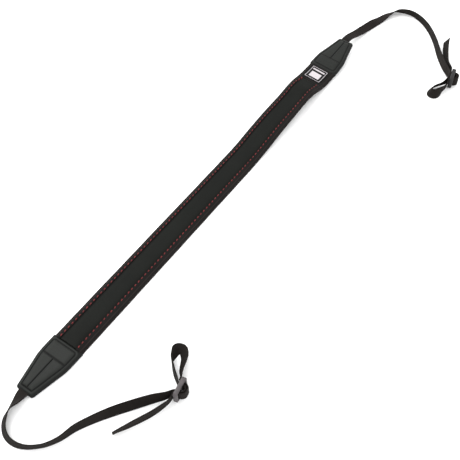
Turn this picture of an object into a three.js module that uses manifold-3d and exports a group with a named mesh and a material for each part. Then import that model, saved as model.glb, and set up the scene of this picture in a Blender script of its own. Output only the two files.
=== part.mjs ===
// Camera neck strap lying on a floor: padded neck band, sunk centre panel, woven label, two end
// tabs, and at each end one narrow webbing threaded through a three-bar slider.
// Millimetres, +Z up. The origin is the middle of the band's underside on the floor, and +X runs
// along the band towards the label.
import * as THREE from "three";
import { mergeVertices } from "three/addons/utils/BufferGeometryUtils.js";
import Module from "manifold-3d";

const wasm = await Module();
wasm.setup();

// ---- driving dimensions, mm ----
const PLAIN_TAB_FROM = 249.5; // wide edge of each end tab, measured from the band's middle
const LABEL_TAB_FROM = 247.5;
const TAB_LENGTH = 64.5;
const TAB_HALF_WIDE = 19.5;
const TAB_HALF_NARROW = 10.6;
const TAB_PARALLEL = 24; // length of the tab's parallel part
const TAB_HEIGHT = 6;
const TONGUE_LENGTH = 11.7; // the band's end inside the tab
const FLOOR_GAP = 0.3; // gap kept between touching pieces
const CHANNEL_HALF = 10.9; // half width of the band's channel
const PANEL_HALF = 10.6;
const PANEL_FROM = -248.9;
const PANEL_TO = 213;
const PANEL_UNDER = 3.8;
const PANEL_TOP = 5;
const CHANNEL_TO = 214;
const LABEL_FROM = 220.2;
const LABEL_LENGTH = 24.6;
const LABEL_HALF = 11.4;
const LABEL_UNDER = 4.7;
const LABEL_TOP = 5.7;
const WEB_WIDTH = 12;
const WEB_THICK = 1.4;
const SLIDER_LENGTH = 22;
const SLIDER_HEIGHT = 17.5;
const SLIDER_THICK = 4.6;
const SLIDER_BAR = 3.5; // centre bar
const SLIDER_SLOT = 6.3;
const SLIDER_RAIL = 2;

// Height of the band's underside above the floor: flat on it, then one low arch before the label.
const BAND_LIFT = [
  // [x, lift of the middle, more at the +y edge and less at the other, more at both edges]
  [-263, 0, 0, 0],
  [40, 0, 0, 0],
  [60, 0.25, 0, 0],
  [80, 1.7, -0.1, 0],
  [98, 4, -0.2, 0],
  [114, 6, -0.5, 0.2],
  [130, 7.1, -0.8, 0.7],
  [150, 7.6, -1.35, 1.65],
  [172, 8.8, -1.9, 1.9],
  [180, 9.5, -1.9, 1.9],
  [188, 11.3, -0.9, 0.1],
  [196, 11.2, -0.2, -0.2],
  [203, 9.9, 0.75, 0],
  [213, 7.4, 1.55, 0.25],
  [222, 5.7, 1.9, 0],
  [230, 4.9, 2, 0],
  [240, 4.8, 1.8, 0],
  [247.5, 4.8, 1.6, 0],
  [259.5, 5.53, 1.6, 0],
];
const BAND_EDGE = 19; // half width at which the edge columns hold
// Heights of the label-side tab above the floor, and its slope across; the other tab lies flat.
const LABEL_TAB_LIFT = { wide: 4.8, tip: 8.7, slope: 1.6 };
const SLOPE_FADE = { from: 12.1, to: 38 }; // the slope fades out between these, from the wide edge
const PLAIN_TAB_LIFT = { wide: 0, tip: 0, slope: 0 };

// Each half of the band's section, from the middle of its underside to the middle of its top.
const BAND_SECTION = [
  // [y, z in the channelled part, y, z beside the label, y, z of the tongue]
  [0, 0, 0, 0, 0, 1.4],
  [18.2, 0, 18.2, 0, 15.2, 1.4],
  [18.9, 0.6, 18.9, 0.6, 15.5, 1.7],
  [18.6, 1.6, 18.6, 1.5, 15.5, 2.2],
  [17.2, 3.4, 17.2, 3.0, 15.3, 2.6],
  [15.0, 4.7, 15.0, 3.9, 14.4, 2.9],
  [12.4, 5.5, 12.4, 4.3, 12.2, 3.0],
  [CHANNEL_HALF, 5.6, 10.8, 4.4, 11.0, 3.0],
  [CHANNEL_HALF, 3.5, 8.0, 4.4, 10.0, 3.0],
  [0, 3.5, 0, 4.4, 0, 3.0],
];

// Levels of an end tab from its underside up: how far the outline is drawn in, and the height.
const TAB_LEVELS = [
  // [inset, z]
  [0.9, 0],
  [0, 0.9],
  [0, 2.4],
  [1.0, 4.0],
  [2.8, 4.9],
  [4.1, 5.25],
  [4.5, 4.9],
  [4.9, 5.3],
  [6.6, 5.75],
  [8.6, TAB_HEIGHT],
];

// Webbing routes. x and y are on the floor, lift is the lower edge's height above it, and lean is
// the angle the webbing has turned about its run: 0 or 180 lies flat, 90 stands on edge.
const PLAIN_RUN = [
  // [x, y, lift, lean]
  [-288, 0.5, 2.5, 0],
  [-302, 0.5, 2.5, 0],
  [-315, 0.1, 2.3, 3],
  [-326, -1.8, 1.2, 36],
  [-336, -2.4, 0.4, 64],
  [-343.5, -4.8, 0, 58],
  [-349.8, -9.4, 0, 61],
  [-354.8, -16, 0, 65],
  [-357.2, -24.2, 0, 73],
  [-356.5, -33.5, 0, 82],
  [-353.5, -41, 0, 90],
  [-349, -47.5, 0, 95],
  [-341.5, -55, 0, 96],
  [-329, -62, 0, 91],
  [-313.5, -66.5, 0, 80],
  [-298, -74, 0, 72],
  [-281, -84, 0, 61],
  [-263, -96.5, 0, 58],
  [-248.3, -108, 0.6, 64],
  [-238.4, -116.8, 1.2, 78],
];
const PLAIN_LOOP = [
  // [x, y, lift, lean]
  [-218.8, -115.4, 1.5, 97],
  [-214.4, -109, 0.5, 98],
  [-209.4, -103.2, 0.5, 96],
  [-204.3, -98, 0.5, 86],
  [-197.4, -95.8, 1, 62],
  [-191.8, -94.8, 1.5, 40],
  [-189.5, -100.5, 2, 42],
  [-193.8, -106, 2, 50],
  [-200, -109.3, 1.8, 57],
  [-207, -112.3, 1.5, 66],
  [-213.5, -116.8, 1.6, 82],
];
const PLAIN_TAIL = [
  // [x, y, lift, lean]
  [-241, -123, 1.5, 84],
  [-249, -120.8, 0.5, 88],
  [-260.8, -116.6, 0, 92],
  [-271.5, -111.6, 0, 92],
  [-278.5, -108.2, 0, 90],
  [-285, -105, 0, 86],
  [-291.2, -101.7, 0, 80],
  [-297, -98.8, 0, 76],
];
const LABEL_RUN = [
  // [x, y, lift, lean]
  [289, 1.9, 9.7, 180],
  [303, 1.9, 10.55, 180],
  [316, 1.9, 11.1, 180],
  [326, 1.2, 9.6, 182],
  [338, -0.6, 6, 188],
  [353.5, -3, 2.4, 200],
  [375, -7.4, 0.7, 204],
  [392.5, -11.2, 0.9, 178],
  [408, -16.4, 0.4, 149],
  [419.6, -24, 0, 125],
  [425.4, -41, 0, 109],
  [420.8, -59, 0, 98],
  [410, -76.3, 0, 91],
  [392, -94.5, 0, 85],
  [368.5, -113, 0, 78],
  [349.5, -129, 1, 79],
  [339.7, -138.8, 2, 84],
];
const LABEL_LOOP = [
  // [x, y, lift, lean]
  [320.3, -144.4, 1.2, 76],
  [313.7, -140.8, 0.6, 63],
  [307.2, -137, 0.3, 62],
  [300.3, -134.6, 0, 64],
  [294, -136.5, 0, 60],
  [294.3, -141.8, 0, 44],
  [299, -145.4, 0, 66],
  [306.5, -147.5, 0.6, 94],
  [315, -148.8, 1.2, 98],
];
const LABEL_TAIL = [
  // [x, y, lift, lean]
  [343.4, -142, 1.8, 88],
  [353.5, -132.2, 1.2, 96],
  [366, -124.6, 0.6, 105],
  [381, -117, 0.3, 115],
  [400.5, -109.5, 0, 121],
];
// Each slider stands on its long edge. facing is +1 where the run comes in at the slot nearer +X.
const PLAIN_SLIDER = { x: -226, y: -124.8, bearing: 10.5, facing: -1 };
const LABEL_SLIDER = { x: 330.2, y: -149.3, bearing: 13.5, facing: 1 };
// One layer of webbing round the centre bar: its reach beyond the slider, and the offset along it.
const INNER_PASS = { side: 4.2, reach: 5.6 };
const OUTER_PASS = { side: 6.2, reach: 7.7 };
const PASS_LIFT = 2.7;

// ---- geometry helpers ----
function material(color, roughness) {
  return new THREE.MeshStandardMaterial({ color, roughness, metalness: 0 });
}

function node(name, geometry, mat) {
  geometry.computeVertexNormals();
  const mesh = new THREE.Mesh(geometry, mat);
  mesh.name = name;
  return mesh;
}

// A closed skin through rings that all have the same number of points, in order.
function loft(rings) {
  const count = rings[0].length;
  const position = [];
  const index = [];
  for (const ring of rings) {
    for (const p of ring) position.push(p[0], p[1], p[2]);
  }
  for (let r = 0; r + 1 < rings.length; r++) {
    for (let k = 0; k < count; k++) {
      const a = r * count + k;
      const b = r * count + ((k + 1) % count);
      index.push(a, b, b + count, a, b + count, a + count);
    }
  }
  for (const [r, flip] of [[0, true], [rings.length - 1, false]]) {
    const ring = rings[r];
    const centre = position.length / 3;
    const mean = [0, 1, 2].map((i) => ring.reduce((sum, p) => sum + p[i], 0) / count);
    position.push(...mean);
    for (let k = 0; k < count; k++) {
      const a = r * count + k;
      const b = r * count + ((k + 1) % count);
      if (flip) index.push(centre, b, a);
      else index.push(centre, a, b);
    }
  }
  const geometry = new THREE.BufferGeometry();
  geometry.setAttribute("position", new THREE.Float32BufferAttribute(position, 3));
  geometry.setIndex(index);
  return geometry;
}

function toSolid(geometry) {
  const plain = new THREE.BufferGeometry();
  plain.setAttribute("position", geometry.getAttribute("position").clone());
  if (geometry.index) plain.setIndex(geometry.index.clone());
  const merged = mergeVertices(plain, 1e-4);
  return new wasm.Manifold(
    new wasm.Mesh({
      numProp: 3,
      vertProperties: new Float32Array(merged.attributes.position.array),
      triVerts: new Uint32Array(merged.index.array),
    }),
  );
}

function fromSolid(solid) {
  const mesh = solid.getMesh();
  const geometry = new THREE.BufferGeometry();
  const position = new THREE.Float32BufferAttribute(mesh.vertProperties, 3);
  geometry.setAttribute("position", position);
  geometry.setIndex(new THREE.Uint32BufferAttribute(mesh.triVerts, 1));
  return geometry;
}

function boxSolid(x0, y0, z0, x1, y1, z1) {
  const block = new THREE.BoxGeometry(x1 - x0, y1 - y0, z1 - z0);
  block.translate((x0 + x1) / 2, (y0 + y1) / 2, (z0 + z1) / 2);
  return toSolid(block);
}

function liftAt(x, y) {
  const rows = BAND_LIFT;
  const next = Math.min(Math.max(rows.findIndex((row) => x <= row[0]), 1), rows.length - 1);
  const [a, b] = [rows[next - 1], rows[next]];
  const share = THREE.MathUtils.clamp((x - a[0]) / (b[0] - a[0]), 0, 1);
  const [middle, slope, curl] = [1, 2, 3].map((i) => a[i] + (b[i] - a[i]) * share);
  const across = y / BAND_EDGE;
  return middle + slope * across + curl * across * across;
}

// ---- neck band, centre panel and label ----
// Stations between two ends of a strip: the rows of BAND_LIFT between them, and past the middle,
// where the band arches, one more halfway to each next row.
function stationsAlong(from, to) {
  const inside = BAND_LIFT.flatMap(([x], i) => {
    const next = BAND_LIFT[i + 1];
    return next && x > 0 ? [x, (x + next[0]) / 2] : [x];
  });
  return [from, ...inside.filter((x) => x > from + 1 && x < to - 1), to];
}

function bandRing(x, column) {
  const half = BAND_SECTION.map((row) => [row[column], row[column + 1]]);
  const right = half.map(([y, z]) => [x, -y, z + liftAt(x, -y)]);
  const left = half.slice(1, -1).map(([y, z]) => [x, y, z + liftAt(x, y)]);
  return [...right, ...left.reverse()];
}

function neckBand() {
  const [channel, plain, tongue] = [0, 2, 4];
  const start = -PLAIN_TAB_FROM + FLOOR_GAP;
  const end = LABEL_TAB_FROM - FLOOR_GAP;
  const rings = [
    bandRing(start - TONGUE_LENGTH, tongue),
    bandRing(start, tongue),
    ...stationsAlong(start, CHANNEL_TO).map((x) => bandRing(x, channel)),
    ...stationsAlong(CHANNEL_TO + 0.5, end).map((x) => bandRing(x, plain)),
    bandRing(end, tongue),
    bandRing(end + TONGUE_LENGTH, tongue),
  ];
  return loft(rings.map((ring) => ring.reverse()));
}

function plateAlongBand(from, to, half, under, top, edge) {
  const section = [
    // [y, height]
    [-half, under],
    [0, under],
    [half, under],
    [half, top - edge],
    [half - edge, top],
    [0, top],
    [-half + edge, top],
    [-half, top - edge],
  ];
  const stations = stationsAlong(from, to);
  return loft(stations.map((x) => section.map(([y, z]) => [x, y, z + liftAt(x, y)])));
}

// ---- end tabs ----
// The tab's outline drawn in by an inset, with rounded corners, from its wide edge outwards.
function tabOutline(inset) {
  const corners = [
    // [x from the wide edge, y, corner radius]
    [0, TAB_HALF_WIDE, 1.5],
    [0, -TAB_HALF_WIDE, 1.5],
    [TAB_PARALLEL, -TAB_HALF_WIDE + 0.3, 5],
    [TAB_LENGTH, -TAB_HALF_NARROW, 2.4],
    [TAB_LENGTH, TAB_HALF_NARROW, 2.4],
    [TAB_PARALLEL, TAB_HALF_WIDE - 0.3, 5],
  ];
  const count = corners.length;
  const edges = corners.map((a, i) => {
    const b = corners[(i + 1) % count];
    const along = new THREE.Vector2(b[0] - a[0], b[1] - a[1]).normalize();
    const inward = new THREE.Vector2(-along.y, along.x);
    const start = new THREE.Vector2(a[0], a[1]).addScaledVector(inward, inset);
    return { along, start };
  });
  const points = [];
  corners.forEach(([, , radius], i) => {
    const before = edges[(i + count - 1) % count];
    const after = edges[i];
    const gap = after.start.clone().sub(before.start);
    const cross = before.along.cross(after.along);
    const corner = before.start.clone().addScaledVector(before.along, gap.cross(after.along) / cross);
    const turn = Math.acos(before.along.dot(after.along));
    const r = Math.max(radius - inset, 0.6);
    const cut = r * Math.tan(turn / 2);
    const centre = corner.clone().addScaledVector(before.along, -cut);
    centre.addScaledVector(new THREE.Vector2(-before.along.y, before.along.x), r);
    const first = Math.atan2(-before.along.x, before.along.y);
    for (let k = 0; k <= 3; k++) {
      const angle = first + (turn * k) / 3;
      points.push([centre.x + r * Math.cos(angle), centre.y + r * Math.sin(angle)]);
    }
  });
  return points;
}

function endTab(towards, from, webY, lift) {
  const skin = loft(TAB_LEVELS.map(([inset, z]) => tabOutline(inset).map(([x, y]) => [x, y, z])));
  let tab = toSolid(skin);
  tab = tab.subtract(boxSolid(-1, -15.8, 1.0, TONGUE_LENGTH + 0.4, 15.8, 3.4));
  tab = tab.subtract(boxSolid(35, webY - 6.5, 2.0, TAB_LENGTH + 1, webY + 6.5, 4.5));
  tab = tab.subtract(boxSolid(20.9, -15, 5.2, 21.9, 15, TAB_HEIGHT + 1));
  tab = tab.subtract(boxSolid(21.4, -0.45, 5.35, 60.4, 0.45, TAB_HEIGHT + 1));
  const geometry = fromSolid(tab);
  const position = geometry.getAttribute("position");
  for (let i = 0; i < position.count; i++) {
    const share = position.getX(i) / TAB_LENGTH;
    const past = (position.getX(i) - SLOPE_FADE.from) / (SLOPE_FADE.to - SLOPE_FADE.from);
    const fade = THREE.MathUtils.clamp(past, 0, 1);
    const slope = lift.slope * (1 - fade);
    const sideways = (slope * position.getY(i)) / BAND_EDGE;
    const raised = lift.wide + (lift.tip - lift.wide) * share + sideways;
    position.setZ(i, position.getZ(i) + raised);
  }
  if (towards < 0) geometry.rotateZ(Math.PI);
  geometry.translate(towards * from, 0, 0);
  return geometry;
}

// ---- webbing ----
// The rows of one layer round the slider's centre bar, standing on edge.
function passRows(slider, from, pass) {
  const { side, reach } = pass;
  const turns = [
    // [share of the side offset, distance out of the slider's plane]
    [1, -3],
    [1, 0],
    [0.93, 0.55 * reach],
    [0.55, 0.93 * reach],
    [0, reach],
    [-0.55, 0.93 * reach],
    [-0.93, 0.55 * reach],
    [-1, 0],
    [-1, -3],
  ];
  const angle = THREE.MathUtils.degToRad(slider.bearing);
  const c = Math.cos(angle);
  const s = Math.sin(angle);
  return turns.map(([share, out]) => {
    const along = from * share * side;
    return [slider.x + along * c + out * s, slider.y + along * s - out * c, PASS_LIFT, 90];
  });
}

function webbing(rows, steps) {
  const rad = THREE.MathUtils.degToRad;
  const points = rows.map(([x, y, lift, lean]) => {
    const rise = (WEB_WIDTH / 2) * Math.abs(Math.sin(rad(lean)));
    const flat = (WEB_THICK / 2) * Math.abs(Math.cos(rad(lean)));
    return new THREE.Vector3(x, y, lift + rise + flat);
  });
  const leans = rows.map((row) => new THREE.Vector3(row[3], 0, 0));
  const centre = new THREE.CatmullRomCurve3(points);
  const turning = new THREE.CatmullRomCurve3(leans, false, "catmullrom", 0.5);
  const total = (rows.length - 1) * steps;
  const rings = [];
  for (let i = 0; i <= total; i++) {
    const at = centre.getPoint(i / total);
    const along = centre.getTangent(i / total);
    const lean = rad(turning.getPoint(i / total).x);
    const left = new THREE.Vector3(-along.y, along.x, 0).normalize();
    const up = along.clone().cross(left);
    const wide = left.multiplyScalar(Math.cos(lean)).addScaledVector(up, Math.sin(lean));
    const face = along.clone().cross(wide);
    const w = WEB_WIDTH / 2;
    const t = WEB_THICK / 2;
    const section = [[w, 0], [w - 0.5, t], [-w + 0.5, t], [-w, 0], [-w + 0.5, -t], [w - 0.5, -t]];
    rings.push(
      section.map(([a, b]) => at.clone().addScaledVector(wide, a).addScaledVector(face, b).toArray()),
    );
  }
  return loft(rings);
}

function threadedWebbing(run, slider, loop, tail) {
  return webbing(
    [
      ...run,
      ...passRows(slider, slider.facing, INNER_PASS),
      ...loop,
      ...passRows(slider, -slider.facing, OUTER_PASS),
      ...tail,
    ],
    4,
  );
}

// ---- sliders ----
// The frame's outline drawn in by an inset, with rounded corners; x along it, y up from the floor.
function sliderOutline(inset) {
  const radius = 2.2 - inset;
  const halfLength = SLIDER_LENGTH / 2 - inset - radius;
  const low = inset + radius;
  const high = SLIDER_HEIGHT - inset - radius;
  const centres = [[halfLength, low], [halfLength, high], [-halfLength, high], [-halfLength, low]];
  const points = [];
  centres.forEach(([x, y], corner) => {
    for (let k = 0; k <= 4; k++) {
      const angle = (corner - 1 + k / 4) * (Math.PI / 2);
      points.push([x + radius * Math.cos(angle), y + radius * Math.sin(angle)]);
    }
  });
  return points;
}

function sliderFrame(slider) {
  const half = SLIDER_THICK / 2;
  const levels = [[0.6, -half], [0, -half + 0.6], [0, half - 0.6], [0.6, half]];
  const skin = loft(levels.map(([inset, t]) => sliderOutline(inset).map(([x, y]) => [x, y, t])));
  let frame = toSolid(skin);
  const near = SLIDER_BAR / 2;
  const far = near + SLIDER_SLOT;
  const top = SLIDER_HEIGHT - SLIDER_RAIL;
  frame = frame.subtract(boxSolid(near, SLIDER_RAIL, -half - 1, far, top, half + 1));
  frame = frame.subtract(boxSolid(-far, SLIDER_RAIL, -half - 1, -near, top, half + 1));
  const geometry = fromSolid(frame);
  geometry.rotateX(Math.PI / 2);
  geometry.rotateZ(THREE.MathUtils.degToRad(slider.bearing));
  geometry.translate(slider.x, slider.y, 0);
  return geometry;
}

// ---- the strap ----
const ribbedCloth = material(0x2b2d2b, 0.9);
const neoprene = material(0x303330, 0.8);
const labelCloth = material(0x141414, 0.85);
const leatherette = material(0x3c403d, 0.65);
const webCloth = material(0x2a2625, 0.85);
const greyPlastic = material(0x6b696b, 0.5);
const blackPlastic = material(0x2e2e30, 0.5);

const strap = new THREE.Group();
strap.name = "camera_neck_strap";

const middle = new THREE.Group();
middle.name = "neck_pad";
middle.add(node("neck_band", neckBand(), ribbedCloth));
middle.add(
  node(
    "centre_panel",
    plateAlongBand(PANEL_FROM, PANEL_TO, PANEL_HALF, PANEL_UNDER, PANEL_TOP, 0.3),
    neoprene,
  ),
);
middle.add(
  node(
    "woven_label",
    plateAlongBand(LABEL_FROM, LABEL_FROM + LABEL_LENGTH, LABEL_HALF, LABEL_UNDER, LABEL_TOP, 0.2),
    labelCloth,
  ),
);
middle.add(
  node("end_tab_label_side", endTab(1, LABEL_TAB_FROM, 1.9, LABEL_TAB_LIFT), leatherette),
);
middle.add(
  node("end_tab_plain_side", endTab(-1, PLAIN_TAB_FROM, -0.4, PLAIN_TAB_LIFT), leatherette),
);
strap.add(middle);

const labelEnd = new THREE.Group();
labelEnd.name = "label_side_end";
labelEnd.add(
  node("webbing_label_side", threadedWebbing(LABEL_RUN, LABEL_SLIDER, LABEL_LOOP, LABEL_TAIL), webCloth),
);
labelEnd.add(node("slider_label_side", sliderFrame(LABEL_SLIDER), blackPlastic));
strap.add(labelEnd);

const plainEnd = new THREE.Group();
plainEnd.name = "plain_side_end";
plainEnd.add(
  node("webbing_plain_side", threadedWebbing(PLAIN_RUN, PLAIN_SLIDER, PLAIN_LOOP, PLAIN_TAIL), webCloth),
);
plainEnd.add(node("slider_plain_side", sliderFrame(PLAIN_SLIDER), greyPlastic));
strap.add(plainEnd);

export default strap;
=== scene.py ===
import math

import bmesh
import bpy
import numpy as np
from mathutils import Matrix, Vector


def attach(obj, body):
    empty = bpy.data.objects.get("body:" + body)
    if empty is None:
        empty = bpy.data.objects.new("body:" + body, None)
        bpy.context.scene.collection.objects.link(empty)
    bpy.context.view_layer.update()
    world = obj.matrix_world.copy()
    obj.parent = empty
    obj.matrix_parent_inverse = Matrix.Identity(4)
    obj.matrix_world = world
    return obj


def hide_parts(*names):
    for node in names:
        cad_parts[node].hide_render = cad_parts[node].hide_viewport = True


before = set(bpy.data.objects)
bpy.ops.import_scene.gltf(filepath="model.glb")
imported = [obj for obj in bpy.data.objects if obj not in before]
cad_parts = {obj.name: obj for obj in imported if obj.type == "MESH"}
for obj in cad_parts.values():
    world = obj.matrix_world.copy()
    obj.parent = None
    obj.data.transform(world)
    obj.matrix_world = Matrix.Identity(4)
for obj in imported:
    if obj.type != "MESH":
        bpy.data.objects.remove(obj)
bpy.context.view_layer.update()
MM = 0.001  # the sizes below are in millimetres


# ---- Camera, floor and light ----
# The strap lies on a pale floor, seen from above its near side. A large soft light stands beyond the
# far side of the band, so the near walls are the dark ones, and a weak one fills from the camera side.
camera_at = Vector((-450.9, -342.5, 686.9)) * MM
camera_looks = Vector((0.486, 0.3425, -0.804))
camera_data = bpy.data.cameras.new("strap_camera")
camera_data.lens = 58.9
camera_data.sensor_width = 36
camera = bpy.data.objects.new("strap_camera", camera_data)
camera.location = camera_at
camera.rotation_euler = camera_looks.to_track_quat("-Z", "Y").to_euler()
bpy.context.scene.collection.objects.link(camera)
bpy.context.scene.camera = camera
bpy.context.scene.view_settings.view_transform = "Standard"


def surface(name, roughness, sheen=0.0, specular=0.5):
    """A new material and its main shader."""
    mat = bpy.data.materials.new(name)
    mat.use_nodes = True
    shader = mat.node_tree.nodes["Principled BSDF"]
    shader.inputs["Roughness"].default_value = roughness
    shader.inputs["Specular IOR Level"].default_value = specular
    shader.inputs["Sheen Weight"].default_value = sheen
    shader.inputs["Sheen Roughness"].default_value = 0.5
    return mat, shader


floor_mesh = bpy.data.meshes.new("floor")
reach, sunk = 6.0, -0.0002
corners = [(-reach, -reach, sunk), (reach, -reach, sunk), (reach, reach, sunk), (-reach, reach, sunk)]
floor_mesh.from_pydata(corners, [], [(0, 1, 2, 3)])
floor = bpy.data.objects.new("floor", floor_mesh)
bpy.context.scene.collection.objects.link(floor)
floor_paint, floor_shader = surface("pale_floor", 0.9)
floor_shader.inputs["Base Color"].default_value = (0.97, 0.97, 0.97, 1)
floor_mesh.materials.append(floor_paint)

world = bpy.data.worlds.new("soft_room")
world.use_nodes = True
world.node_tree.nodes["Background"].inputs["Color"].default_value = (1, 1, 1, 1)
world.node_tree.nodes["Background"].inputs["Strength"].default_value = 1.5
bpy.context.scene.world = world

for name, place, size, power in (
    ("far_side_light", (0.1, 1.1, 1.5), 1.2, 28),
    ("camera_side_light", (-0.9, -0.9, 1.4), 1.4, 6),
):
    lamp = bpy.data.lights.new(name, "AREA")
    lamp.size = size
    lamp.energy = power
    holder = bpy.data.objects.new(name, lamp)
    holder.location = place
    holder.rotation_euler = (-Vector(place)).to_track_quat("-Z", "Y").to_euler()
    bpy.context.scene.collection.objects.link(holder)


# ---- Neck band ----
# A foam core in a ribbed cloth cover, 38 mm wide, whose long edges slope down to a thin rim. A channel
# runs down its middle for the panel. It lies flat, and rises in one low arch before the label.
band_from, band_to = -249.5, 247.5  # where the end tabs begin
channel_to = 215.0
band_edge = 19.0
band_lift = np.array([
    # (x, lift of the middle, more at the +y edge and less at the other, more at both edges)
    (-263, 0, 0, 0), (20, 0, 0, 0), (40, 0, 0, 0), (60, 0.25, 0, 0), (80, 1.7, -0.1, 0),
    (98, 4.0, -0.2, 0), (114, 6.0, -0.5, 0.2), (130, 7.1, -0.8, 0.7), (150, 7.6, -1.35, 1.65),
    (172, 8.8, -1.9, 1.9), (180, 9.5, -1.9, 1.9), (188, 11.3, -0.9, 0.1), (196, 11.2, -0.2, -0.2),
    (203, 9.9, 0.75, 0), (213, 7.4, 1.55, 0.25), (222, 5.7, 1.9, 0), (230, 4.9, 2.0, 0),
    (240, 4.8, 1.8, 0), (247.5, 4.8, 1.6, 0), (259.5, 5.53, 1.6, 0),
])
band_half_section = [
    # (y in the channelled part, z, y beside the label, z, points to the next row)
    (0.0, 3.5, 0.0, 4.40, 5),
    (9.9, 3.5, 8.0, 4.40, 2),
    (10.75, 3.62, 9.6, 4.40, 2),
    (11.0, 4.2, 10.4, 4.40, 2),
    (11.05, 5.0, 10.9, 4.40, 2),
    (11.25, 5.42, 11.3, 4.40, 3),
    (11.9, 5.6, 11.9, 4.38, 3),
    (12.7, 5.5, 12.7, 4.32, 9),
    (15.0, 4.75, 15.0, 3.95, 9),
    (17.2, 3.45, 17.2, 3.00, 6),
    (18.4, 2.1, 18.4, 2.00, 4),
    (18.9, 1.1, 18.9, 1.10, 3),
    (18.8, 0.45, 18.8, 0.45, 2),
    (18.2, 0.08, 18.2, 0.08, 2),
    (17.0, 0.0, 17.0, 0.0, 7),
    (0.0, 0.0, 0.0, 0.0, 1),
]
rib_from, rib_width, rib_height = 12.75, 2.85, 0.38
seam_at, seam_wide, seam_sunk, seam_puckered = 11.9, 0.42, 0.30, 0.22
stitch_pitch = 5.6


def lift_at(x, y):
    """Height of the band's underside, on smooth curves through the rows."""
    xs, rows = band_lift[:, 0], band_lift[:, 1:]
    slopes = np.gradient(rows, xs, axis=0)
    i = int(np.clip(np.searchsorted(xs, x) - 1, 0, len(xs) - 2))
    h = xs[i + 1] - xs[i]
    t = (x - xs[i]) / h
    rise = (2 * t**3 - 3 * t**2 + 1) * rows[i] + (t**3 - 2 * t**2 + t) * h * slopes[i]
    rise = rise + (3 * t**2 - 2 * t**3) * rows[i + 1] + (t**3 - t**2) * h * slopes[i + 1]
    across = y / band_edge
    return rise[0] + rise[1] * across + rise[2] * across**2


def smooth_step(low, high, value):
    """0 up to low, 1 from high, and an eased change between; low may be the larger."""
    t = np.clip((value - low) / (high - low), 0, 1)
    return t * t * (3 - 2 * t)


def loft(name, rings, paint, uv=None):
    """A closed skin through rings of millimetre points, with uv in millimetres round and along."""
    rows, count = len(rings), len(rings[0])
    end_middles = [np.mean(rings[0], 0), np.mean(rings[-1], 0)]
    points = np.concatenate([np.reshape(rings, (-1, 3)), end_middles]) * MM
    faces = []
    for r in range(rows - 1):
        for k in range(count):
            a, b = r * count + k, r * count + (k + 1) % count
            faces.append((a, b, b + count, a + count))
    for k in range(count):
        a, b = k, (k + 1) % count
        faces.append((rows * count, b, a))
        faces.append((rows * count + 1, (rows - 1) * count + a, (rows - 1) * count + b))
    mesh = bpy.data.meshes.new(name)
    mesh.from_pydata([tuple(p) for p in points], [], faces)
    if uv is not None:
        round_mm, along_mm = uv
        layer = mesh.uv_layers.new(name="weave_mm")
        values = np.zeros((len(mesh.loops), 2))
        side = np.tile(np.arange(count), rows - 1)
        row = np.repeat(np.arange(rows - 1), count)
        u0, u1 = round_mm[side], round_mm[side + 1]
        v0, v1 = along_mm[row], along_mm[row + 1]
        corner_uv = np.stack([np.stack([u0, v0], 1), np.stack([u1, v0], 1),
                              np.stack([u1, v1], 1), np.stack([u0, v1], 1)], 1)
        values[: 4 * len(side)] = corner_uv.reshape(-1, 2)
        values[4 * len(side):] = (round_mm[count // 4], along_mm[0])
        layer.data.foreach_set("uv", values.ravel())
    return finished(name, mesh, paint)


def finished(name, mesh, paint, sharp=50):
    """Turns the faces outward, smooths all but the real corners, and places the piece."""
    work = bmesh.new()
    work.from_mesh(mesh)
    bmesh.ops.recalc_face_normals(work, faces=work.faces)
    work.to_mesh(mesh)
    work.free()
    mesh.shade_smooth()
    mesh.set_sharp_from_angle(angle=math.radians(sharp))
    mesh.materials.append(paint)
    piece = bpy.data.objects.new(name, mesh)
    bpy.context.scene.collection.objects.link(piece)
    return piece


def half_section(x):
    """Half of the band's section at x: y, and height above the underside."""
    beside_label = smooth_step(channel_to - 0.6, channel_to + 1.0, x)
    ys, zs = [], []
    for row, after in zip(band_half_section, band_half_section[1:]):
        share = np.arange(row[4]) / row[4]
        for values, i in ((ys, 0), (zs, 1)):
            start = row[i] * (1 - beside_label) + row[i + 2] * beside_label
            end = after[i] * (1 - beside_label) + after[i + 2] * beside_label
            values.extend(start + (end - start) * share)
    ys, zs = np.array(ys + [0.0]), np.array(zs + [0.0])
    top = np.arange(len(ys)) < sum(row[4] for row in band_half_section if row[1] > 0.45)
    rib = (ys - rib_from) / rib_width
    raised = rib_height * (np.abs(np.sin(np.pi * rib)) ** 0.7 - 0.55) * (rib > 0) * (rib < 2)
    zs = zs + raised * top
    on_seam = np.exp(-(((ys - seam_at) / seam_wide) ** 2)) * top * (1 - beside_label)
    pull = seam_sunk + seam_puckered * np.cos(2 * np.pi * x / stitch_pitch)
    return ys, zs - on_seam * pull


def band_ring(x):
    ys, zs = half_section(x)
    waver = 0.05 * math.sin(x / 17.0) + 0.04 * math.sin(x / 7.3 + 1)
    ys = ys * (1 + waver / band_edge)
    left = np.stack([ys * 0 + x, ys, zs + lift_at(x, ys)], 1)
    right = np.stack([ys * 0 + x, -ys, zs + lift_at(x, -ys)], 1)[1:-1][::-1]
    return np.concatenate([left, right])


def wire(mat, kind, inputs=None, **settings):
    """Adds a shader node; inputs are plain values or sockets of other nodes."""
    made = mat.node_tree.nodes.new("ShaderNode" + kind)
    for name, value in settings.items():
        setattr(made, name, value)
    for name, value in (inputs or {}).items():
        if isinstance(value, bpy.types.NodeSocket):
            mat.node_tree.links.new(value, made.inputs[name])
        else:
            made.inputs[name].default_value = value
    return made


def calc(mat, operation, *values):
    """One step of arithmetic on sockets and numbers."""
    return wire(mat, "Math", dict(enumerate(values)), operation=operation).outputs[0]


def blend_of(mat, share, first, second):
    """A colour that goes from first to second with share."""
    mix = wire(mat, "Mix", {0: share, 6: first, 7: second}, data_type="RGBA")
    return mix.outputs[2]


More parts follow.
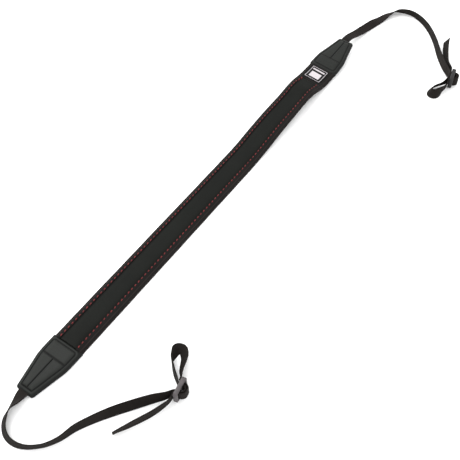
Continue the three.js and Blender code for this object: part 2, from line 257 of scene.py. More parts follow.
def tint(red, green, blue):
    """A screen colour, 0 to 255, as the linear colour that shaders take."""
    linear = []
    for value in (red, green, blue):
        c = value / 255
        linear.append(c / 12.92 if c <= 0.04045 else ((c + 0.055) / 1.055) ** 2.4)
    return (*linear, 1)


def join(mat, socket, shader_input):
    mat.node_tree.links.new(socket, shader_input)


ribbed_cloth, shader = surface("ribbed_cloth", 0.85, sheen=0.02, specular=0.08)
place = wire(ribbed_cloth, "TexCoord").outputs["Object"]
xyz = wire(ribbed_cloth, "SeparateXYZ", {0: place})
x_mm = calc(ribbed_cloth, "MULTIPLY", xyz.outputs[0], 1000)
y_mm = calc(ribbed_cloth, "MULTIPLY", xyz.outputs[1], 1000)
cords = calc(ribbed_cloth, "SINE", calc(ribbed_cloth, "MULTIPLY", y_mm, 2 * math.pi / 0.72))
picks = calc(ribbed_cloth, "SINE", calc(ribbed_cloth, "MULTIPLY", x_mm, 2 * math.pi / 0.9))
weave = calc(ribbed_cloth, "MULTIPLY_ADD", calc(ribbed_cloth, "MULTIPLY", cords, picks), 0.5, cords)
fuzz = wire(ribbed_cloth, "TexNoise", {"Vector": place, "Scale": 1700.0, "Detail": 3.0}).outputs[0]
patchy = wire(ribbed_cloth, "TexNoise", {"Vector": place, "Scale": 60.0, "Detail": 3.0}).outputs[0]
height = calc(ribbed_cloth, "MULTIPLY_ADD", fuzz, 0.8, calc(ribbed_cloth, "MULTIPLY", weave, 0.5))
bump = wire(ribbed_cloth, "Bump", {"Height": height, "Strength": 0.6, "Distance": 0.00012})
patches = calc(ribbed_cloth, "MULTIPLY_ADD", patchy, 0.9, 0.02)
shade = calc(ribbed_cloth, "MULTIPLY_ADD", weave, 0.16, patches)
side_mm = calc(ribbed_cloth, "ABSOLUTE", y_mm)


def near_line(at, width):
    """1 on a line along the band at a distance from its middle, fading to 0 over the width."""
    away = calc(ribbed_cloth, "ABSOLUTE", calc(ribbed_cloth, "SUBTRACT", side_mm, at))
    return calc(ribbed_cloth, "MAXIMUM", calc(ribbed_cloth, "MULTIPLY_ADD", away, -1 / width, 1), 0)


# Painted highlight: a lighter, browner line along each border's ribs and along its rounded edge, standing
# in for the light they catch.
painted_highlight_lines = calc(ribbed_cloth, "MAXIMUM", near_line(15.9, 0.55), near_line(18.75, 0.7))
plain_cloth = blend_of(ribbed_cloth, shade, tint(12, 12, 11), tint(29, 27, 26))
painted_highlight_share = calc(ribbed_cloth, "MULTIPLY", painted_highlight_lines, 0.5)
cloth_colour = blend_of(ribbed_cloth, painted_highlight_share, plain_cloth, tint(54, 44, 42))
join(ribbed_cloth, cloth_colour, shader.inputs["Base Color"])
join(ribbed_cloth, bump.outputs[0], shader.inputs["Normal"])

under_tab = 1.2  # how far each end runs in under its tab
band_stations = np.linspace(band_from - under_tab, band_to + under_tab, 430)
neck_band = loft("neck_band", [band_ring(x) for x in band_stations], ribbed_cloth)
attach(neck_band, "root")
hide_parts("neck_band")


# ---- Centre panel ----
# One long strip of smooth, dark neoprene laid in the channel and caught under the borders' seams. It
# stops short of the label, where its end is cut square.
panel_from, panel_to = -250.0, 214.0
panel_half, panel_under, panel_top = 10.6, 3.8, 5.0


def panel_ring(x):
    swell = 0.10 * math.sin(x / 23.0) + 0.07 * math.sin(x / 9.1 + 2)
    end_tuck = 0.5 * (1 - smooth_step(0, 1.2, panel_to - x))
    across = np.array([0, 2, 4, 6, 8, 9.2, 10.0, 10.4, panel_half])
    drop = 0.75 * (across / panel_half) ** 6 + end_tuck
    crown = panel_top + 0.25 * np.cos(across / panel_half * math.pi / 2) + swell * (1 - across / panel_half)
    top = np.stack([across, crown - drop], 1)
    left = np.concatenate([top, [(panel_half, panel_under + 0.1), (panel_half - 0.3, panel_under)]])
    right = left[::-1] * (-1, 1)
    outline = np.concatenate([left, right[:-1]])
    heights = outline[:, 1] + lift_at(x, outline[:, 0])
    return np.column_stack([np.full(len(outline), x), outline[:, 0], heights])


neoprene, shader = surface("smooth_neoprene", 0.62, sheen=0.0, specular=0.08)
place = wire(neoprene, "TexCoord").outputs["Object"]
pores = wire(neoprene, "TexVoronoi", {"Vector": place, "Scale": 2100.0}).outputs["Distance"]
skin = wire(neoprene, "TexNoise", {"Vector": place, "Scale": 900.0, "Detail": 4.0}).outputs[0]
clouds = wire(neoprene, "TexNoise", {"Vector": place, "Scale": 35.0, "Detail": 4.0}).outputs[0]
height = calc(neoprene, "MULTIPLY_ADD", pores, 0.4, skin)
bump = wire(neoprene, "Bump", {"Height": height, "Strength": 0.35, "Distance": 0.00008})
join(neoprene, bump.outputs[0], shader.inputs["Normal"])
join(neoprene, blend_of(neoprene, clouds, tint(9, 10, 8), tint(17, 19, 16)), shader.inputs["Base Color"])
join(neoprene, calc(neoprene, "MULTIPLY_ADD", skin, 0.25, 0.5), shader.inputs["Roughness"])

quarter_turn = np.linspace(0, math.pi / 2, 7)[1:]
panel_stations = np.concatenate([np.linspace(panel_from, panel_to - 1.5, 190),
                                 panel_to - 1.5 * np.cos(quarter_turn)])
centre_panel = loft("centre_panel", [panel_ring(x) for x in panel_stations], neoprene)
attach(centre_panel, "root")
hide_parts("centre_panel")


# ---- Red stitching ----
# Two rows of thick red thread hold the borders down along the panel. Each stitch is a short, slightly
# slanted length of three-ply thread that dives into the cloth at both ends.
thread_half, stitch_reach, slant = 0.55, 1.5, 0.22
stitches_from, stitches_to, stitches_height = -246.8, 213.5, 5.32
far_row_drawn_in = 1.7  # where the far row closes in on the label


def stitch_points(x, y, z, reach, thick, lean, sides=10, steps=12):
    """Points of one stitch on the cloth at height z: rings along a low bow of twisted thread."""
    rings = []
    for t in np.linspace(-1, 1, steps):
        middle = np.array([x + t * reach, y + t * lean, z + thick * (0.9 - 1.9 * abs(t) ** 3.2)])
        turn = np.linspace(0, 2 * math.pi, sides, endpoint=False)
        lobes = thick * (1 - 0.25 * abs(t) ** 4) * (1 + 0.13 * np.cos(3 * (turn + 2.1 * t)))
        rings.append(middle + np.stack([0 * turn, lobes * np.cos(turn), lobes * np.sin(turn)], 1))
    return np.array(rings)


def thread_mesh(name, stitches, paint):
    """All the stitches of one seam as one mesh of closed threads."""
    points, faces = [], []
    for rings in stitches:
        start, (rows, count) = len(points), rings.shape[:2]
        points.extend(tuple(p) for p in rings.reshape(-1, 3) * MM)
        for r in range(rows - 1):
            for k in range(count):
                a, b = start + r * count + k, start + r * count + (k + 1) % count
                faces.append((a, b, b + count, a + count))
        faces.append(tuple(range(start + count - 1, start - 1, -1)))
        last = start + (rows - 1) * count
        faces.append(tuple(range(last, last + count)))
    mesh = bpy.data.meshes.new(name)
    mesh.from_pydata(points, [], faces)
    return finished(name, mesh, paint)


def thread_paint(name, dark, light):
    mat, main = surface(name, 0.6, sheen=0.05, specular=0.15)
    at = wire(mat, "TexCoord").outputs["Object"]
    fibres = wire(mat, "TexNoise", {"Vector": at, "Scale": 2600.0, "Detail": 3.0}).outputs[0]
    lengths = wire(mat, "TexNoise", {"Vector": at, "Scale": 190.0, "Detail": 1.0}).outputs[0]
    join(mat, blend_of(mat, lengths, dark, light), main.inputs["Base Color"])
    relief = wire(mat, "Bump", {"Height": fibres, "Strength": 0.5, "Distance": 0.0001})
    join(mat, relief.outputs[0], main.inputs["Normal"])
    return mat


red_thread = thread_paint("red_thread", tint(60, 17, 19), tint(128, 46, 46))
seam_stitches = []
for x in np.arange(stitches_from, stitches_to, stitch_pitch):
    for side in (-1, 1):
        drawn_in = far_row_drawn_in * smooth_step(199, 212, x) * (side > 0)
        y = side * (seam_at - drawn_in)
        seam_z = stitches_height + lift_at(x, y)
        seam_stitches.append(stitch_points(x, y, seam_z, stitch_reach, thread_half, slant))
panel_stitching = thread_mesh("panel_stitching", seam_stitches, red_thread)
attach(panel_stitching, "root")


# ---- Woven label ----
# A black damask label sewn flat on the band between the panel's end and the end tab. A fine white line
# frames it, with a plain white block and a plain white bar woven inside.
label_from, label_long, label_half = 220.2, 24.6, 11.4
label_under, label_top = 4.7, 5.7
line_in_x, line_in_y, line_wide = 0.7, 0.6, 0.55  # the white line round the edge

label_points, label_faces = [], []
label_nx, label_ny = 50, 48
for level in (0, 1):
    for i in range(label_nx + 1):
        for j in range(label_ny + 1):
            x = label_from + label_long * i / label_nx
            y = label_half * (2 * j / label_ny - 1)
            edge = min(x - label_from, label_from + label_long - x, label_half - abs(y))
            round_off = 0.35 * max(0, 1 - edge / 0.7) ** 2
            pucker = 0.06 * math.sin(x * 1.1) * math.sin(y * 0.9)
            z = label_top - round_off + pucker if level else label_under
            label_points.append((x * MM, y * MM, (z + lift_at(x, y)) * MM))
row = label_ny + 1
layer_size = row * (label_nx + 1)
for level in (0, 1):
    for i in range(label_nx):
        for j in range(label_ny):
            a = level * layer_size + i * row + j
            label_faces.append((a, a + row, a + row + 1, a + 1))
rim = [(i * row, (i + 1) * row) for i in range(label_nx)]
rim += [(label_nx * row + j, label_nx * row + j + 1) for j in range(label_ny)]
rim += [((i + 1) * row + label_ny, i * row + label_ny) for i in range(label_nx)]
rim += [(j + 1, j) for j in range(label_ny)]
label_faces += [(a, b, b + layer_size, a + layer_size) for a, b in rim]
label_mesh = bpy.data.meshes.new("woven_label")
label_mesh.from_pydata(label_points, [], label_faces)

damask, shader = surface("damask_label", 0.75, sheen=0.02, specular=0.15)
place = wire(damask, "TexCoord").outputs["Object"]
xyz = wire(damask, "SeparateXYZ", {0: place})
x_mm = calc(damask, "MULTIPLY_ADD", xyz.outputs[0], 1000, -(label_from + label_long / 2))
y_mm = calc(damask, "MULTIPLY", xyz.outputs[1], 1000)
picks = calc(damask, "SINE", calc(damask, "MULTIPLY", x_mm, 2 * math.pi / 0.42))
ends = calc(damask, "SINE", calc(damask, "MULTIPLY", y_mm, 2 * math.pi / 0.36))
crossing = calc(damask, "MULTIPLY", picks, ends)


def inside_block(mat, x_at, half_x, half_y):
    """1 inside a rectangle of the label, 0 outside, with an edge one thread soft."""
    dx = calc(mat, "ABSOLUTE", calc(mat, "SUBTRACT", x_mm, x_at))
    dy = calc(mat, "ABSOLUTE", y_mm)
    far = calc(mat, "MAXIMUM", calc(mat, "SUBTRACT", dx, half_x), calc(mat, "SUBTRACT", dy, half_y))
    ragged = calc(mat, "MULTIPLY_ADD", crossing, 0.07, far)
    return calc(mat, "LESS_THAN", ragged, 0)


line_x, line_y = label_long / 2 - line_in_x, label_half - line_in_y
line_outer = inside_block(damask, 0, line_x, line_y)
line_inner = inside_block(damask, 0, line_x - line_wide, line_y - line_wide)
edge_line = calc(damask, "SUBTRACT", line_outer, line_inner)
block = inside_block(damask, -2.6, 5.2, 7.2)
bar = inside_block(damask, 7.2, 1.2, 8.6)
white_share = calc(damask, "MAXIMUM", edge_line, calc(damask, "MAXIMUM", block, bar))
thread_tops = calc(damask, "MULTIPLY_ADD", crossing, 0.5, 0.5)
dark_weave = blend_of(damask, thread_tops, tint(9, 9, 9), tint(19, 18, 19))
white_weave = blend_of(damask, thread_tops, tint(160, 153, 156), tint(192, 187, 190))
join(damask, blend_of(damask, white_share, dark_weave, white_weave), shader.inputs["Base Color"])
height = calc(damask, "MULTIPLY_ADD", crossing, 0.4, white_share)
bump = wire(damask, "Bump", {"Height": height, "Strength": 0.6, "Distance": 0.0001})
join(damask, bump.outputs[0], shader.inputs["Normal"])

woven_label = finished("woven_label", label_mesh, damask)
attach(woven_label, "root")
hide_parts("woven_label")


# ---- End tabs ----
# Two padded tabs of fine-grained leatherette, each folded over the band's end and the webbing's. Their
# sides slope up to a flat top, and sewn grooves run round the top, across it and down its middle.
tab_long, tab_half_wide, tab_half_narrow, tab_parallel = 64.5, 19.5, 10.6, 24.0
tab_drawn_in, tip_radius = 0.3, 2.2
slope_from, slope_to = 12.1, 38.0  # where a tab's slope across begins to fade, and where it has gone
tab_profile = [
    # (distance in from the outline, height)
    (0.0, 2.4), (0.35, 3.3), (1.0, 4.05), (1.9, 4.6), (2.8, 4.95), (3.8, 5.2), (5.0, 5.45), (6.6, 5.75),
    (8.6, 5.95), (14, 6.0),
]
groove_in, groove_across, groove_end, groove_wide, groove_deep = 4.5, 21.4, 60.4, 0.62, 0.85
turn_radius = 7.0  # the grooves turn the wide edge's corners on this radius
# Lift of the wide edge and of the tip, the slope across the wide edge, and its corners' radius:
label_side_lift = {"wide": 4.8, "tip": 8.7, "slope": 1.6, "corner": 3.2}
plain_side_lift = {"wide": 0.0, "tip": 0.0, "slope": 0.0, "corner": 1.2}


def tab_half_width(u, corner_radius):
    """Half width of the tab's plan at u from its wide edge, with rounded corners."""
    half = tab_half_wide - tab_drawn_in * u / tab_parallel
    if u > tab_parallel:
        share = (u - tab_parallel) / (tab_long - tab_parallel)
        shoulder = tab_half_wide - tab_drawn_in
        half = shoulder - (shoulder - tab_half_narrow) * share
    half -= 0.25 * math.exp(-(((u - tab_parallel) / 2.0) ** 2))
    for away, radius in ((u, corner_radius), (tab_long - u, tip_radius)):
        if away < radius:
            half -= radius - math.sqrt(radius**2 - (radius - away) ** 2)
    return half


def tab_lift(lift, u, y):
    slope = lift["slope"] * (1 - np.clip((u - slope_from) / (slope_to - slope_from), 0, 1))
    return lift["wide"] + (lift["tip"] - lift["wide"]) * u / tab_long + slope * y / band_edge


def tab_mesh(name, tab_from, towards, lift):
    """One tab: a fine grid over its plan, raised by the profile and cut by the grooves."""
    us = np.concatenate([[0, 0.05, 0.2, 0.5, 0.9, 1.4], np.arange(1.9, tab_long - 2.4, 0.45),
                         tab_long - 2.4 * np.cos(np.linspace(0, math.pi / 2, 12))])
    vs = np.linspace(-1, 1, 97)
    outline = [(u, tab_half_width(u, lift["corner"])) for u in us]
    plan = [(u, h) for u, h in outline] + [(u, -h) for u, h in outline[::-1]]
    start = np.array(plan)
    end = np.roll(start, -1, 0)
    points, painted_shade_values = [], []
    xs, depth = np.array(tab_profile).T
    for u, half in outline:
        ys = vs * half
        at = np.stack([np.full(len(ys), u), ys], 1)[:, None]
        run = end - start
        share = np.clip(((at - start) * run).sum(2) / np.maximum((run**2).sum(1), 1e-9), 0, 1)
        inset = np.sqrt(((at - start - share[..., None] * run) ** 2).sum(2)).min(1)
        from_side = half - np.abs(ys)
        rounded = turn_radius - np.hypot(turn_radius - u, turn_radius - from_side)
        in_corner = (u < turn_radius) & (from_side < turn_radius)
        inset = np.where(in_corner, np.maximum(rounded, 0.4 * inset), inset)
        top = np.interp(inset, xs, depth)
        cut = np.exp(-(((inset - groove_in) / groove_wide) ** 2))
        in_top = smooth_step(groove_in - 0.3, groove_in + 0.2, inset)
        cut = np.maximum(cut, np.exp(-(((u - groove_across) / (groove_wide + 0.2)) ** 2)) * in_top)
        if groove_across < u < groove_end:
            cut = np.maximum(cut, np.exp(-((ys / groove_wide) ** 2)) * in_top)
        from_groove = np.minimum(np.abs(u - groove_across), np.abs(inset - groove_in))
        panels = 0.12 * smooth_step(0.4, 3.0, from_groove)
        top = top + panels - groove_deep * cut + tab_lift(lift, u, ys)
        # Painted shade: the grooves and a strip just inside the outline are given a darker colour, where
        # shade falls.
        shade = np.maximum(np.minimum(1.5 * cut, 1), 0.8 * smooth_step(2.6, 1.2, inset))
        for y, z, c in zip(ys, top, shade):
            points.append((towards * (tab_from + u), towards * y, z))
            painted_shade_values.append(c)
    rows, count = len(us), len(vs)
    faces = [(i * count + j, (i + 1) * count + j, (i + 1) * count + j + 1, i * count + j + 1)
             for i in range(rows - 1) for j in range(count - 1)]
    rim = [i * count for i in range(rows)]
    rim += [(rows - 1) * count + j for j in range(1, count)]
    rim += [i * count + count - 1 for i in range(rows - 2, -1, -1)]
    rim += [j for j in range(count - 2, 0, -1)]
    previous = rim
    for drawn_in, z in ((-0.05, 1.6), (0.0, 0.9), (0.35, 0.3), (0.9, 0.0)):
        level = []
        for v in rim:
            x, y, _ = points[v]
            u = towards * x - tab_from
            heart = towards * (tab_from + np.clip(u, 10, 58))
            out = np.array([x - heart, y]) / max(math.hypot(x - heart, y), 1e-6)
            level.append(len(points))
            raised = z + tab_lift(lift, u, towards * y)
            points.append((x - out[0] * drawn_in, y - out[1] * drawn_in, raised))
            # Painted shade: the side walls get the same darker colour.
            painted_shade_values.append(0.8)
        faces += [(previous[k], previous[(k + 1) % len(rim)], level[(k + 1) % len(rim)], level[k])
                  for k in range(len(rim))]
        previous = level
    middle = len(points)
    points.append((towards * (tab_from + 30), 0, tab_lift(lift, 30, 0)))
    painted_shade_values.append(0.0)
    faces += [(previous[k], previous[(k + 1) % len(rim)], middle) for k in range(len(rim))]
    mesh = bpy.data.meshes.new(name)
    mesh.from_pydata([tuple(np.array(p) * MM) for p in points], [], faces)
    painted_shade_layer = mesh.attributes.new("painted_shade", "FLOAT", "POINT")
    painted_shade_layer.data.foreach_set("value", np.array(painted_shade_values, np.float32))
    return mesh


leatherette, shader = surface("grained_leatherette", 0.5, specular=0.14)
place = wire(leatherette, "TexCoord").outputs["Object"]
grain = wire(leatherette, "TexVoronoi", {"Vector": place, "Scale": 1150.0}, feature="DISTANCE_TO_EDGE")
creases = calc(leatherette, "MINIMUM", calc(leatherette, "MULTIPLY", grain.outputs[0], 5), 1)
fine = wire(leatherette, "TexNoise", {"Vector": place, "Scale": 2400.0, "Detail": 3.0}).outputs[0]
clouds = wire(leatherette, "TexNoise", {"Vector": place, "Scale": 55.0, "Detail": 4.0}).outputs[0]
height = calc(leatherette, "MULTIPLY_ADD", fine, 0.5, creases)
bump = wire(leatherette, "Bump", {"Height": height, "Strength": 0.45, "Distance": 0.0001})
painted_shade_fac = wire(leatherette, "Attribute", attribute_name="painted_shade").outputs["Fac"]
cloudy = calc(leatherette, "MULTIPLY_ADD", clouds, 0.8, -0.1)
hide_share = calc(leatherette, "MULTIPLY_ADD", creases, 0.25, cloudy)
hide = blend_of(leatherette, hide_share, tint(18, 20, 18), tint(31, 33, 30))
# Painted shade: darker colour in the grooves, along the top's outline and on the side walls.
painted_shade_colour = blend_of(leatherette, calc(leatherette, "MULTIPLY", painted_shade_fac, 0.92), hide, tint(5, 6, 5))
join(leatherette, painted_shade_colour, shader.inputs["Base Color"])
join(leatherette, bump.outputs[0], shader.inputs["Normal"])
join(leatherette, calc(leatherette, "MULTIPLY_ADD", clouds, 0.2, 0.4), shader.inputs["Roughness"])

for side, tab_from, towards, lift in (
    ("label_side", band_to, 1, label_side_lift),
    ("plain_side", -band_from, -1, plain_side_lift),
):
    name = "end_tab_" + side
    end_tab = finished(name, tab_mesh(name, tab_from, towards, lift), leatherette)
    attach(end_tab, "root")
    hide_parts(name)


# ---- Webbing ----
# One 12 mm woven tape at each end. It leaves the tab flat, turns on edge round a wide curve, goes round
# the slider's centre bar, makes the lug loop, comes back round the same bar and ends in a free tail.
web_width, web_thick, cord_pitch = 12.0, 1.4, 1.2
plain_run = [
    # (x, y, lift, lean)
    (-288, 0.5, 2.5, 0), (-302, 0.5, 2.5, 0), (-315, 0.1, 2.3, 3), (-326, -1.8, 1.2, 36),
    (-336, -2.4, 0.4, 64), (-343.5, -4.8, 0, 58), (-349.8, -9.4, 0, 61), (-354.8, -16, 0, 65),
    (-357.2, -24.2, 0, 73), (-356.5, -33.5, 0, 82), (-353.5, -41, 0, 90), (-349, -47.5, 0, 95),
    (-341.5, -55, 0, 96), (-329, -62, 0, 91), (-313.5, -66.5, 0, 80), (-298, -74, 0, 72),
    (-281, -84, 0, 61), (-263, -96.5, 0, 58), (-248.3, -108, 0.6, 64), (-238.4, -116.8, 1.2, 78),
]
plain_loop = [
    # (x, y, lift, lean)
    (-218.8, -115.4, 1.5, 97), (-214.4, -109, 0.5, 98), (-209.4, -103.2, 0.5, 96),
    (-204.3, -98, 0.5, 86), (-197.4, -95.8, 1, 62), (-191.8, -94.8, 1.5, 40), (-189.5, -100.5, 2, 42),
    (-193.8, -106, 2, 50), (-200, -109.3, 1.8, 57), (-207, -112.3, 1.5, 66), (-213.5, -116.8, 1.6, 82),
]
plain_tail = [
    # (x, y, lift, lean)
    (-241, -123, 1.5, 84), (-249, -120.8, 0.5, 88), (-260.8, -116.6, 0, 92), (-271.5, -111.6, 0, 92),
    (-278.5, -108.2, 0, 90), (-285, -105, 0, 86), (-291.2, -101.7, 0, 80), (-297, -98.8, 0, 76),
]
label_run = [
    # (x, y, lift, lean)
    (289, 1.9, 9.7, 180), (303, 1.9, 10.55, 180), (316, 1.9, 11.1, 180), (326, 1.2, 9.6, 182),
    (338, -0.6, 6, 188), (353.5, -3, 2.4, 200), (375, -7.4, 0.7, 204), (392.5, -11.2, 0.9, 178),
    (408, -16.4, 0.4, 149), (419.6, -24, 0, 125), (425.4, -41, 0, 109), (420.8, -59, 0, 98),
    (410, -76.3, 0, 91), (392, -94.5, 0, 85), (368.5, -113, 0, 78), (349.5, -129, 1, 79),
    (339.7, -138.8, 2, 84),
]
label_loop = [
    # (x, y, lift, lean)
    (320.3, -144.4, 1.2, 76), (313.7, -140.8, 0.6, 63), (307.2, -137, 0.3, 62), (300.3, -134.6, 0, 64),
    (294, -136.5, 0, 60), (294.3, -141.8, 0, 44), (299, -145.4, 0, 66), (306.5, -147.5, 0.6, 94),
    (315, -148.8, 1.2, 98),
]
label_tail = [
    # (x, y, lift, lean)
    (343.4, -142, 1.8, 88), (353.5, -132.2, 1.2, 96), (366, -124.6, 0.6, 105), (381, -117, 0.3, 115),
    (400.5, -109.5, 0, 121),
]
plain_slider = {"x": -226.0, "y": -124.8, "bearing": 10.5, "facing": -1}
label_slider = {"x": 330.2, "y": -149.3, "bearing": 13.5, "facing": 1}
inner_pass, outer_pass = (4.2, 5.6), (6.2, 7.7)  # offset along the slider, and reach out of it
pass_lift = 2.7


def pass_rows(slider, start, turn_of_tape):
    """The rows of one layer of tape round the slider's centre bar."""
    offset, reach_out = turn_of_tape
    turns = [(1, -3), (1, 0), (0.93, 0.55 * reach_out), (0.55, 0.93 * reach_out), (0, reach_out),
             (-0.55, 0.93 * reach_out), (-0.93, 0.55 * reach_out), (-1, 0), (-1, -3)]
    c, s = math.cos(math.radians(slider["bearing"])), math.sin(math.radians(slider["bearing"]))
    rows = []
    for share, out in turns:
        along = start * share * offset
        rows.append((slider["x"] + along * c + out * s, slider["y"] + along * s - out * c, pass_lift, 90))
    return rows


def smooth_path(points, steps, even):
    """A curve through points: even spaces the knots by index, otherwise by root distance."""
    points = np.asarray(points, float)
    padded = np.vstack([2 * points[0] - points[1], points, 2 * points[-1] - points[-2]])
    made = []
    for a, b, c, d in zip(padded, padded[1:], padded[2:], padded[3:]):
        gaps = [1.0 if even else float(np.sum((v - u) ** 2)) ** 0.25 for u, v in ((a, b), (b, c), (c, d))]
        leave = ((b - a) / gaps[0] - (c - a) / (gaps[0] + gaps[1]) + (c - b) / gaps[1]) * gaps[1]
        arrive = ((c - b) / gaps[1] - (d - b) / (gaps[1] + gaps[2]) + (d - c) / gaps[2]) * gaps[1]
        for t in np.arange(steps) / steps:
            made.append((2 * t**3 - 3 * t**2 + 1) * b + (t**3 - 2 * t**2 + t) * leave
                        + (3 * t**2 - 2 * t**3) * c + (t**3 - t**2) * arrive)
    return np.array([*made, points[-1]])


def tape(name, rows, paint):
    """A woven tape along rows of (x, y, lift, lean), and its length in millimetres."""
    rows = np.array(rows, float)
    lean = np.radians(rows[:, 3])
    z = rows[:, 2] + web_width / 2 * np.abs(np.sin(lean)) + web_thick / 2 * np.abs(np.cos(lean))
    line = smooth_path(np.column_stack([rows[:, :2], z]), 16, even=False)
    turned = smooth_path(rows[:, 3:], 16, even=True)[:, 0]
    run = np.concatenate([[0], np.cumsum(np.linalg.norm(np.diff(line, axis=0), axis=1))])
    stations = np.linspace(0, run[-1], int(run[-1] / 1.1))
    line = np.stack([np.interp(stations, run, line[:, k]) for k in range(3)], 1)
    turned = np.radians(np.interp(stations, run, turned))
    along = np.gradient(line, axis=0)
    along /= np.linalg.norm(along, axis=1)[:, None]
    left = np.stack([-along[:, 1], along[:, 0], 0 * along[:, 0]], 1)
    left /= np.linalg.norm(left, axis=1)[:, None]
    up = np.cross(along, left)
    wide = np.cos(turned)[:, None] * left + np.sin(turned)[:, None] * up
    face = np.cross(along, wide)
    selvedge_steps = np.array([0.9, 0.95, 0.985, 1])
    across = np.concatenate([-selvedge_steps[::-1], np.linspace(-0.84, 0.84, 29), selvedge_steps])
    half = web_width / 2
    body = 1 - np.clip((np.abs(across) - 0.93) / 0.07, 0, 1) ** 2 * 0.85
    cords = 0.06 * np.cos(across * half * 2 * math.pi / cord_pitch)
    selvedge = 0.05 * (np.abs(np.abs(across) - 0.92) < 0.05)
    thick = (web_thick / 2 - 0.1) * body + cords * body + selvedge
    under = np.stack([across * half, -thick], 1)
    over = np.stack([across * half, thick], 1)[::-1]
    section = np.concatenate([under, over])
    rings = line[:, None] + wide[:, None] * section[:, :1] + face[:, None] * section[:, 1:]
    round_mm = np.concatenate([under[:, 0], 40 - over[:, 0], [40 + half]])
    return loft(name, rings, paint, uv=(round_mm, stations)), run[-1]


webbing_weave, shader = surface("woven_webbing", 0.75, sheen=0.01, specular=0.05)
uv = wire(webbing_weave, "UVMap", uv_map="weave_mm").outputs[0]
spread = wire(webbing_weave, "SeparateXYZ", {0: uv})
across_mm, along_mm = spread.outputs[0], spread.outputs[1]
warp = calc(webbing_weave, "SINE", calc(webbing_weave, "MULTIPLY", across_mm, 2 * math.pi / cord_pitch))
staggered = calc(webbing_weave, "MULTIPLY_ADD", calc(webbing_weave, "SIGN", warp), 0.28, along_mm)
twill = calc(webbing_weave, "SINE", calc(webbing_weave, "MULTIPLY", staggered, 2 * math.pi / 1.1))
ridges = calc(webbing_weave, "ABSOLUTE", twill)
place = wire(webbing_weave, "TexCoord").outputs["Object"]
fibres = wire(webbing_weave, "TexNoise", {"Vector": place, "Scale": 2300.0, "Detail": 3.0}).outputs[0]
worn = wire(webbing_weave, "TexNoise", {"Vector": place, "Scale": 45.0, "Detail": 3.0}).outputs[0]
yarns = calc(webbing_weave, "MULTIPLY_ADD", fibres, 0.5, calc(webbing_weave, "MULTIPLY", warp, 0.2))
height = calc(webbing_weave, "MULTIPLY_ADD", ridges, 0.9, yarns)
bump = wire(webbing_weave, "Bump", {"Height": height, "Strength": 0.7, "Distance": 0.00022})
shade = calc(webbing_weave, "MULTIPLY_ADD", ridges, 0.45, calc(webbing_weave, "MULTIPLY", worn, 0.6))
yarn_colour = blend_of(webbing_weave, shade, tint(11, 11, 10), tint(38, 34, 32))
join(webbing_weave, yarn_colour, shader.inputs["Base Color"])
join(webbing_weave, bump.outputs[0], shader.inputs["Normal"])

for side, slider, run_rows, loop_rows, tail_rows in (
    ("label_side", label_slider, label_run, label_loop, label_tail),
    ("plain_side", plain_slider, plain_run, plain_loop, plain_tail),
):
    name = "webbing_" + side
    facing = slider["facing"]
    route = (run_rows + pass_rows(slider, facing, inner_pass) + loop_rows
             + pass_rows(slider, -facing, outer_pass) + tail_rows)
    webbing, web_long = tape(name, route, webbing_weave)
    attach(webbing, "root")
    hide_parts(name)


# ---- Sliders ----
# Two moulded three-bar sliders, standing on their long edges. Both layers of tape pass round the centre
# bar, and friction alone holds them.
slider_long, slider_tall, slider_thick = 22.0, 17.5, 4.6
end_bar, centre_bar, rail, corner = 2.95, 3.5, 2.0, 3.0
squareness = 0.55  # 1 would make the bars' sections oval, and 0 square


def rounded_section(wide, thick, points=20):
    turn = np.linspace(0, 2 * math.pi, points, endpoint=False)
    c, s = np.cos(turn), np.sin(turn)
    across = np.sign(c) * np.abs(c) ** squareness * wide / 2
    through = np.sign(s) * np.abs(s) ** squareness * thick / 2
    return np.stack([across, through], 1)


def frame_ring(name, paint):
    """The slider's outer frame: a rounded bar swept round a rounded rectangle, x along it and z up."""
    half, tall = slider_long / 2, slider_tall
    rings = []
    for turn, x_sign, z_sign in ((0, 1, 1), (90, -1, 1), (180, -1, -1), (270, 1, -1)):
        for step in np.linspace(0, 90, 8):
            angle = math.radians(turn + step)
            out = np.array([math.cos(angle), 0, math.sin(angle)])
            heart = np.array([x_sign * (half - corner), 0, tall / 2 + z_sign * (tall / 2 - corner)])
            upright = out[0] ** 2
            wide = end_bar * upright + rail * (1 - upright)
            section = rounded_section(wide, slider_thick + 0.5 * upright)
            middle = heart + out * (corner - wide / 2)
            rings.append(middle + out * section[:, :1] + np.array([0, 1, 0]) * section[:, 1:])
    points = np.concatenate(rings) * MM
    rows, count = len(rings), len(rings[0])
    faces = []
    for r in range(rows):
        here, beyond = r * count, (r + 1) % rows * count
        for k in range(count):
            after = (k + 1) % count
            faces.append((here + k, here + after, beyond + after, beyond + k))
    mesh = bpy.data.meshes.new(name)
    mesh.from_pydata([tuple(p) for p in points], [], faces)
    return finished(name, mesh, paint)


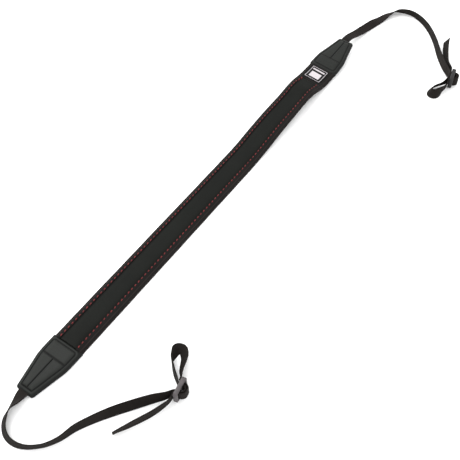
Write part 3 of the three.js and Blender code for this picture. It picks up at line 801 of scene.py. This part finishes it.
def upright_bar(name, wide, thick, low, high, paint):
    """A closed bar with rounded edges, standing in the middle of the frame."""
    section = rounded_section(wide, thick)
    rings = [np.column_stack([section, np.full(len(section), z)]) for z in np.linspace(low, high, 5)]
    return loft(name, np.array(rings), paint)


def slider_piece(name, slider, paint):
    """The frame and its centre bar, joined into one moulding."""
    body = frame_ring(name + "_frame", paint)
    low, high = rail / 2, slider_tall - rail / 2
    middle = upright_bar(name + "_bar", centre_bar, slider_thick - 0.5, low, high, paint)
    union = body.modifiers.new("join", "BOOLEAN")
    union.operation, union.object, union.solver = "UNION", middle, "EXACT"
    bpy.context.view_layer.update()
    mesh = bpy.data.meshes.new_from_object(body.evaluated_get(bpy.context.evaluated_depsgraph_get()))
    for made in (body, middle):
        bpy.data.objects.remove(made)
    angle = math.radians(slider["bearing"])
    c, s = math.cos(angle), math.sin(angle)
    for v in mesh.vertices:
        x, y, z = v.co / MM
        v.co = Vector((slider["x"] + x * c - y * s, slider["y"] + x * s + y * c, z)) * MM
    mesh.materials.clear()
    return finished(name, mesh, paint, sharp=60)


def moulded_plastic(name, dark, light):
    mat, main = surface(name, 0.45, specular=0.25)
    at = wire(mat, "TexCoord").outputs["Object"]
    texture = wire(mat, "TexNoise", {"Vector": at, "Scale": 2800.0, "Detail": 2.0}).outputs[0]
    rubbed = wire(mat, "TexNoise", {"Vector": at, "Scale": 160.0, "Detail": 4.0}).outputs[0]
    join(mat, blend_of(mat, rubbed, dark, light), main.inputs["Base Color"])
    join(mat, calc(mat, "MULTIPLY_ADD", rubbed, 0.3, 0.3), main.inputs["Roughness"])
    relief = wire(mat, "Bump", {"Height": texture, "Strength": 0.3, "Distance": 0.00008})
    join(mat, relief.outputs[0], main.inputs["Normal"])
    return mat


for side, slider, dark, light in (
    ("label_side", label_slider, tint(17, 17, 17), tint(34, 33, 33)),
    ("plain_side", plain_slider, tint(52, 49, 50), tint(82, 76, 77)),
):
    name = "slider_" + side
    piece = slider_piece(name, slider, moulded_plastic(side + "_slider_plastic", dark, light))
    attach(piece, "root")
    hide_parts(name)
